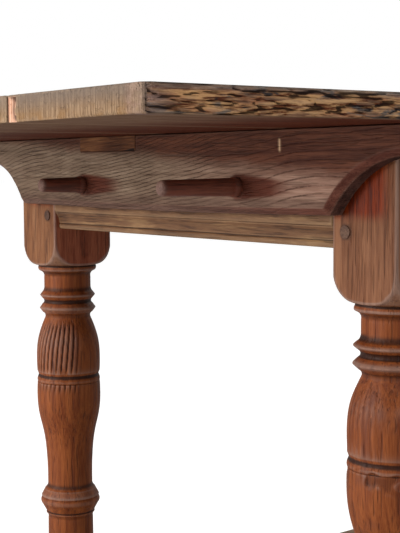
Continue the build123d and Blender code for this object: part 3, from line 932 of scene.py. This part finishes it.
end_span = far_joint - near_joint
side_reach = abs(near_leg_low.y)
side_span = 2 * (abs(front_face) - block)
rails = [
    make_rail("end_rail_front", (1, 0, 0), abs(front_face), end_span),
    make_rail("end_rail_back", (-1, 0, 0), abs(front_face), end_span),
    make_rail("side_rail_near", (0, 1, 0), side_reach, side_span),
    make_rail("side_rail_far", (0, -1, 0), side_reach, side_span),
]
print("made", len(rails), "rails of", len(rails[0].data.polygons), "faces and more")

# %% [markdown]
# ## The stretchers
# Feet have rested on the stretchers for as long as the table has stood, so each one is dished along its
# upper outer arris, most in the middle.

# %% Stretcher shapes
FOOT_WEAR = 9 * MM


def make_stretcher(side, axis):
    """One stretcher along an axis, dished by feet."""
    node = f"stretcher_{side}"
    low, high = (np.array(corner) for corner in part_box(node))
    span = (side_span if axis == 0 else end_span) / 2
    low[axis], high[axis] = -span, span
    counts = [8, 8, 12]
    counts[axis] = round(2 * span / (6 * MM))
    stretcher = new_piece(f"{node}_worn", divided_box(Vector(low), Vector(high), counts), "table", node)
    mesh = stretcher.data
    points = read_points(mesh)
    flat = points.copy()
    radii = (2.5 * MM + 1.2 * MM * ripple(flat, (11, 11, 11), 2))[:, None] * np.ones((1, 3))
    radii[:, axis] = 0.3 * MM
    points = soften(points, low, high, radii)
    across = 1 - axis
    outer = np.sign(low[across] + high[across])
    from_outer = (high[across] - flat[:, across]) if outer > 0 else (flat[:, across] - low[across])
    worn = rise(flat[:, 2], low[2] + 30 * MM, high[2]) * rise(from_outer, 30 * MM, 0)
    sag = np.clip(1 - (flat[:, axis] / span) ** 2, 0, 1) * (0.7 + 0.5 * ripple(flat, (5, 5, 5), 14))
    points[:, 2] -= FOOT_WEAR * worn * sag
    points[:, across] -= outer * 0.4 * FOOT_WEAR * worn * sag
    write_points(mesh, points)
    mark_hollows(mesh, 8, 1.5 * MM)
    return stretcher


lies_along = {"front": 1, "back": 1, "near": 0, "far": 0}
stretchers = [make_stretcher(side, axis) for side, axis in lies_along.items()]
print("made", len(stretchers), "stretchers")

# %% [markdown]
# ## Stain and grain
# All the wood is one recipe with different tones. Fine fibres and broader streaks are two noises stretched
# along the grain, and large blotches a third, unstretched. Growth lines are a sine wave across the board,
# bent by a noise.
# Dark stain gathers where the surface is hollow, and hands have rubbed the arrises paler.


# %% The wood recipe
GRAINS = {"x": (0.05, 1, 1), "y": (1, 0.05, 1), "z": (1, 1, 0.05)}


class Wood(Finish):
    """The shared recipe, with each layer kept so that a piece can add its own."""

    def __init__(self, name, grain, tones):
        super().__init__(name)
        self.spot = self.place()
        self.grain_spot = self.stretch(self.spot, GRAINS[grain])
        self.fibre = self.noise(self.grain_spot, 850, 3, 0.6)
        self.streak = self.noise(self.grain_spot, 130, 4, 0.65, 0.2)
        self.blotch = self.noise(self.spot, 13, 3, 0.6)
        dark, middle, light = tones
        mix = self.fibre * 0.45 + self.streak * 0.85 + self.blotch * 0.6 - 0.45
        shade = self.blend(mix.rise(0.3, 0.5), dark, middle)
        self.shade = self.blend(mix.rise(0.5, 0.72), shade, light)
        self.height = self.fibre * 0.7 + self.streak * 0.6
        self.rough = self.fibre * 0.2 + 0.5

    def lines(self, across, period, wander, depth, tone, strength, mask=1.0, sharp=0.5):
        """Dark, broken growth lines square to a direction, bent by a slow noise."""
        bend = self.noise(self.spot, 4.5, 1, 0.4) * wander + self.noise(self.spot, 60, 1, 0.4) * (2 * MM)
        wave = ((self.along(self.spot, across) + bend) * (2 * math.pi / period)).sine()
        broken = self.noise(self.spot, 210, 2, 0.6).rise(0.34, 0.6)
        fade = self.noise(self.spot, 15, 2).rise(0.36, 0.58)
        line = wave.rise(sharp, 1.0) * (broken * 0.45 + 0.55) * (fade * 0.6 + 0.4) * mask
        self.shade = self.blend(line * strength, self.shade, tone)
        self.height = self.height - line * depth

    def pores(self, scale, tone, strength):
        """Short dark pores along the grain, as in all open-grained oak."""
        pore = self.noise(self.grain_spot, scale, 1, 0.5).rise(0.6, 0.7)
        self.shade = self.blend(pore * strength, self.shade, tone)
        self.height = self.height - pore * 0.8

    def grime(self, tone, rubbed, groove=0.55, arris=0.5):
        """Darken hollows and rub the arrises."""
        hollow = self.mark("hollow")
        self.shade = self.blend(hollow.rise(0.06, 0.6) * groove, self.shade, tone)
        worn = hollow.rise(-0.12, -0.7) * (self.streak * 0.8 + 0.35)
        self.shade = self.blend(worn * arris, self.shade, rubbed)

    def stain_and_shade(self, mask, tone, strength=1.0):
        """Lay a tone over the wood where a mask says so: stains, and on the battens painted shade and shadow.
        """
        self.shade = self.blend(mask * strength, self.shade, tone)

    def grained(self, dark, light, low=0.4, high=0.62):
        """A tone that keeps the grain's streaks, for stains and for the battens' painted shade."""
        return self.blend((self.streak * 0.6 + self.fibre * 0.4).rise(low, high), dark, light)

    def done(self, depth, specular=0.25):
        return self.finish(self.shade, self.rough, self.height, depth, specular)


def dress(pieces, material):
    """Give pieces a material in place of any that they have."""
    for piece in pieces:
        piece.data.materials.clear()
        piece.data.materials.append(material)


# %% [markdown]
# The top is four colours at once. Its upper face is grey-brown, its underside dark and smoky, its ends
# honey coloured with fine upright saw marks, and its long edges gold and blue-black where the fibres have
# opened.

# %% Top finish
top = Wood("top_boards", "x", (colour(78, 58, 44), colour(112, 88, 66), colour(146, 120, 94)))
top.lines((0.0, 1.0, 0.15), 14 * MM, 60 * MM, 0.5, colour(66, 47, 36), 0.5)
top.pores(300, colour(50, 36, 28), 0.5)
top.stain_and_shade(top.mark("tone"), top.grained(colour(96, 72, 52), colour(158, 134, 108), 0.34, 0.66), 0.6)
for number in range(1, plank_count):
    seam_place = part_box(f"top_plank_{number}")[1].y
    to_seam = (top.along(top.spot, (0, 1, 0)) - seam_place).size()
    top.stain_and_shade(to_seam.rise(3 * MM, 1 * MM), colour(40, 28, 22), 0.7)
lengthwise = top.along(top.spot, (1, 0, 0))
smoke = top.grained(colour(94, 64, 46), colour(130, 102, 82))
red_smoke = top.grained(colour(66, 28, 14), colour(98, 48, 28))
from_end = lengthwise.rise(front_face - 0.31, front_face - 0.12)
top.stain_and_shade(top.mark("under"), top.blend(from_end, smoke, red_smoke))

opened = top.noise(top.stretch(top.spot, (36, 1, 420)), 1.0, 4, 0.72, 0.3)
weather = top.noise(top.stretch(top.spot, (24, 1, 120)), 1.0, 3, 0.65, 0.6)
warm = top.noise(top.stretch(top.spot, (15, 1, 70)), 1.0, 2, 0.5)
gold = top.blend(opened.rise(0.38, 0.6), colour(92, 50, 32), colour(204, 156, 108))
russet = top.blend(opened.rise(0.4, 0.62), colour(76, 40, 28), colour(176, 122, 88))
slate = top.blend(opened.rise(0.4, 0.66), colour(36, 30, 32), colour(122, 113, 108))
to_front = lengthwise.rise(front_face + 0.05, front_face - 0.3)
edge_tone = top.blend((warm + to_front * 0.06).rise(0.42, 0.58), russet, gold)
edge_tone = top.blend((weather - to_front * 0.05).rise(0.5, 0.6), edge_tone, slate)
top_arris = top.along(top.spot, (0, 0, 1)).rise(top_face - 7 * MM, top_face - 2 * MM)
edge_tone = top.blend(top_arris * 0.7, edge_tone, top.grained(colour(96, 84, 78), colour(176, 164, 154)))
top.stain_and_shade(top.mark("rim"), edge_tone)
top.height = top.height + top.mark("rim") * (opened * 3.0 + weather)

upright = top.noise(top.stretch(top.spot, (1, 460, 16)), 1.0, 3, 0.7)
patchy = top.noise(top.stretch(top.spot, (1, 40, 90)), 1.0, 4, 0.7)
honey = top.blend(upright.rise(0.36, 0.62), colour(104, 80, 60), colour(150, 124, 98))
honey = top.blend(patchy.rise(0.45, 0.65) * 0.6, honey, colour(132, 98, 62))
grey_top = (top.along(top.spot, (0, 0, 1)) + patchy * 0.012).rise(top_face - 16 * MM, top_face + 4 * MM)
honey = top.blend(grey_top * 0.75, honey, colour(104, 94, 88))
top.stain_and_shade(top.mark("end"), honey)
top.height = top.height + top.mark("end") * upright * 1.6
worn_corner = top.grained(colour(92, 66, 56), colour(158, 132, 122), 0.34, 0.66)
top.stain_and_shade(top.mark("corner") * patchy.rise(0.3, 0.6), worn_corner, 0.85)
fresh = top.blend(upright.rise(0.4, 0.62), colour(186, 132, 106), colour(224, 182, 158))
top.stain_and_shade(top.mark("broken"), fresh, 0.85)
top.grime(colour(28, 18, 14), colour(176, 150, 124), 0.85, 0.3)
top.rough = top.rough + 0.15
dress(planks, top.done(0.9 * MM, 0.1))

# %% [markdown]
# The battens have greyed, with close dark growth lines that rise towards the near side. Their upper part,
# just under the top, is dark red: an old red stain with painted shade from the overhanging top. Beside
# each pin a painted shadow falls towards the near side, with painted shade round the pin's root. The
# bevel along the lower edge is purple-brown, and the faces that turn sideways and down carry painted shade.

# %% Batten finish
batten_wood = Wood("batten_wood", "y", (colour(98, 79, 65), colour(120, 100, 84), colour(138, 118, 101)))
sideways = batten_wood.along(batten_wood.spot, (0, -1, 0))
warm_end = batten_wood.grained(colour(130, 94, 80), colour(164, 130, 114))
batten_wood.stain_and_shade(sideways.rise(-0.05, 0.3), warm_end, 0.85)
height = batten_wood.along(batten_wood.spot, (0, 0, 1))
# The upper part, just under the top, is painted dark red: an old red stain with painted shade from the
# overhanging top.
red_line = underside - 0.034
red_stain_and_shade = (height + batten_wood.blotch * 0.02 + batten_wood.streak * 0.012 + sideways * 0.07).rise(
    red_line + 0.012, red_line + 0.034
)
batten_wood.stain_and_shade(red_stain_and_shade, batten_wood.grained(colour(62, 27, 16), colour(92, 48, 30)), 0.9)
close_lines = sideways.rise(0.26, 0.12)
batten_wood.lines((0, 0.15, 1.0), 4.8 * MM, 42 * MM, 1.0, colour(52, 34, 27), 0.75, close_lines)
batten_wood.lines((0, 0.13, 1.0), 9.5 * MM, 60 * MM, 0.8, colour(52, 26, 20), 0.85, 1 - close_lines, 0.7)
batten_wood.pores(420, colour(60, 42, 34), 0.35)
low_band = (height + batten_wood.blotch * 0.01).rise(batten_floor + 28 * MM, batten_floor + 16 * MM)
batten_wood.stain_and_shade(low_band, batten_wood.grained(colour(72, 52, 44), colour(104, 80, 68)), 0.7)
bevel_brown = batten_wood.grained(colour(74, 52, 44), colour(106, 80, 70))
batten_wood.stain_and_shade(batten_wood.mark("bevel"), bevel_brown, 0.85)
bevel_red = batten_wood.grained(colour(70, 34, 26), colour(102, 58, 46), 0.34, 0.66)
batten_wood.stain_and_shade(batten_wood.mark("bevel") * sideways.rise(0.0, 0.32), bevel_red, 0.85)
# Painted shade: a dark tone on the faces that turn sideways and down.
batten_wood.stain_and_shade(batten_wood.mark("edge"), batten_wood.grained(colour(40, 24, 22), colour(72, 46, 40)), 0.9)
# Painted shadow beside each pin and painted shade round its root, in dark red-brown.
pin_shadow_tone = batten_wood.grained(colour(66, 30, 20), colour(92, 46, 33))
batten_wood.stain_and_shade(batten_wood.mark("stain_and_shade"), pin_shadow_tone, 0.95)
batten_wood.stain_and_shade(batten_wood.mark("nick"), colour(214, 176, 140), 0.9)
batten_wood.grime(colour(38, 24, 18), colour(110, 78, 66), 0.7, 0.5)
dress(battens.values(), batten_wood.done(0.7 * MM, 0.12))

# %% [markdown]
# The patch let in to the batten is browner wood with wavy lines, and it has begun to open in one short
# crack at its lower corner.

# %% Patch finish
CRACK_LENGTH = 26 * MM
CRACK_HEIGHT = 3.2 * MM
patch_wood = Wood("patch_wood", "y", (colour(70, 42, 28), colour(98, 62, 40), colour(122, 82, 54)))
patch_wood.lines((0, 0.1, 1.0), 6 * MM, 20 * MM, 0.5, colour(60, 36, 25), 0.5)
patch_wood.pores(400, colour(50, 30, 20), 0.4)
patch_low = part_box("batten_patch")[0]
along_patch = patch_wood.along(patch_wood.spot, (0, 1, 0)) - patch_low.y
up_patch = patch_wood.along(patch_wood.spot, (0, 0, 1)) - patch_low.z
wedge = up_patch + along_patch * (CRACK_HEIGHT / CRACK_LENGTH)
wedge = wedge.rise(CRACK_HEIGHT + 0.5 * MM, CRACK_HEIGHT - 0.5 * MM)
patch_wood.stain_and_shade(wedge * along_patch.rise(1 * MM, 2 * MM), colour(24, 13, 9), 0.95)
dress([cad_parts["batten_patch"]], patch_wood.done(0.5 * MM, 0.12))

# %% [markdown]
# The rails are mid brown with pale golden streaks, and dirt lies in the quirks of the moulding.

# %% Rail finish
RAIL_TONES = (colour(72, 46, 30), colour(106, 74, 50), colour(136, 104, 72))


def rail_finish(name, grain):
    wood = Wood(name, grain, RAIL_TONES)
    wood.pores(350, colour(46, 28, 19), 0.45)
    wood.grime(colour(44, 25, 17), colour(146, 118, 90), 0.9, 0.5)
    return wood.done(0.6 * MM)


rail_along_y = rail_finish("rail_wood_across", "y")
rail_along_x = rail_finish("rail_wood_along", "x")
dress(rails[:2], rail_along_y)
dress(rails[2:], rail_along_x)
dress(stretchers[:2], rail_along_y)
dress(stretchers[2:], rail_along_x)

# %% [markdown]
# The legs are warmer: reddish orange brown, dark in every groove, pale on the flat outer faces of the
# blocks and dark red on the faces that look inwards, which no light or cloth ever reached. Under the
# battens, where a longer batten once lay, the wood has kept its first orange colour.

# %% Leg finish
leg_wood = Wood("leg_wood", "z", (colour(98, 62, 41), colour(118, 78, 52), colour(136, 96, 68)))
leg_wood.lines((0.7, 0.7, 0.12), 15 * MM, 30 * MM, 0.4, colour(80, 46, 31), 0.4)
near_end = leg_wood.along(leg_wood.spot, (0, -1, 0)).rise(0.0, 0.2)
leg_wood.stain_and_shade(near_end, leg_wood.grained(colour(92, 54, 34), colour(134, 90, 64), 0.34, 0.68), 0.8)
turned_tone = leg_wood.grained(colour(92, 42, 18), colour(132, 70, 32), 0.34, 0.68)
leg_wood.stain_and_shade(leg_wood.mark("turned"), turned_tone, 0.85)
leg_wood.stain_and_shade(leg_wood.blotch.rise(0.54, 0.68) * leg_wood.mark("turned"), colour(82, 48, 40), 0.45)
leg_wood.stain_and_shade(leg_wood.mark("checks"), colour(44, 22, 18), 0.75)
inner_red = leg_wood.grained(colour(110, 52, 36), colour(152, 86, 62), 0.34, 0.68)
leg_wood.stain_and_shade(leg_wood.mark("inner"), inner_red, 0.9)
kept_orange = leg_wood.mark("glow") * (leg_wood.streak * 0.8 + 0.8)
leg_wood.stain_and_shade(kept_orange, leg_wood.grained(colour(70, 22, 2), colour(130, 50, 6), 0.36, 0.66))
leg_wood.pores(380, colour(52, 26, 17), 0.45)
leg_wood.grime(colour(34, 17, 12), colour(134, 112, 102), 0.9, 0.7)
leg_wood.stain_and_shade(leg_wood.mark("pegged"), colour(62, 40, 30), 0.7)
leg_wood.rough = leg_wood.fibre * 0.25 + 0.38
dress(legs, leg_wood.done(0.6 * MM, 0.14))

# %% [markdown]
# The pins and the pegs are handled or hammered wood: dark, and greyer at the ends where the grain is cut
# across.

# %% Pin, peg and hidden finishes
pin_wood = Wood("pin_wood", "x", (colour(70, 33, 23), colour(106, 53, 37), colour(136, 84, 62)))
pin_wood.pores(500, colour(36, 18, 13), 0.5)
pin_wood.stain_and_shade(pin_wood.mark("tip"), pin_wood.grained(colour(78, 56, 50), colour(126, 104, 96)), 0.8)
pin_wood.grime(colour(28, 14, 10), colour(104, 72, 60), 0.8, 0.4)
dress(pins, pin_wood.done(0.4 * MM, 0.3))

peg_wood = Wood("peg_wood", "x", (colour(52, 33, 26), colour(80, 55, 43), colour(104, 77, 61)))
pegs = [piece for name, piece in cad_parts.items() if "_pegs_" in name]
dress(pegs, peg_wood.done(0.4 * MM))

hidden_wood = Wood("hidden_tenons", "x", (colour(90, 66, 48), colour(120, 92, 68), colour(140, 112, 86)))
seam_tenons = [piece for name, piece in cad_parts.items() if name.startswith("seam_")]
dress(seam_tenons, hidden_wood.done(0.4 * MM))

bpy.context.view_layer.update()
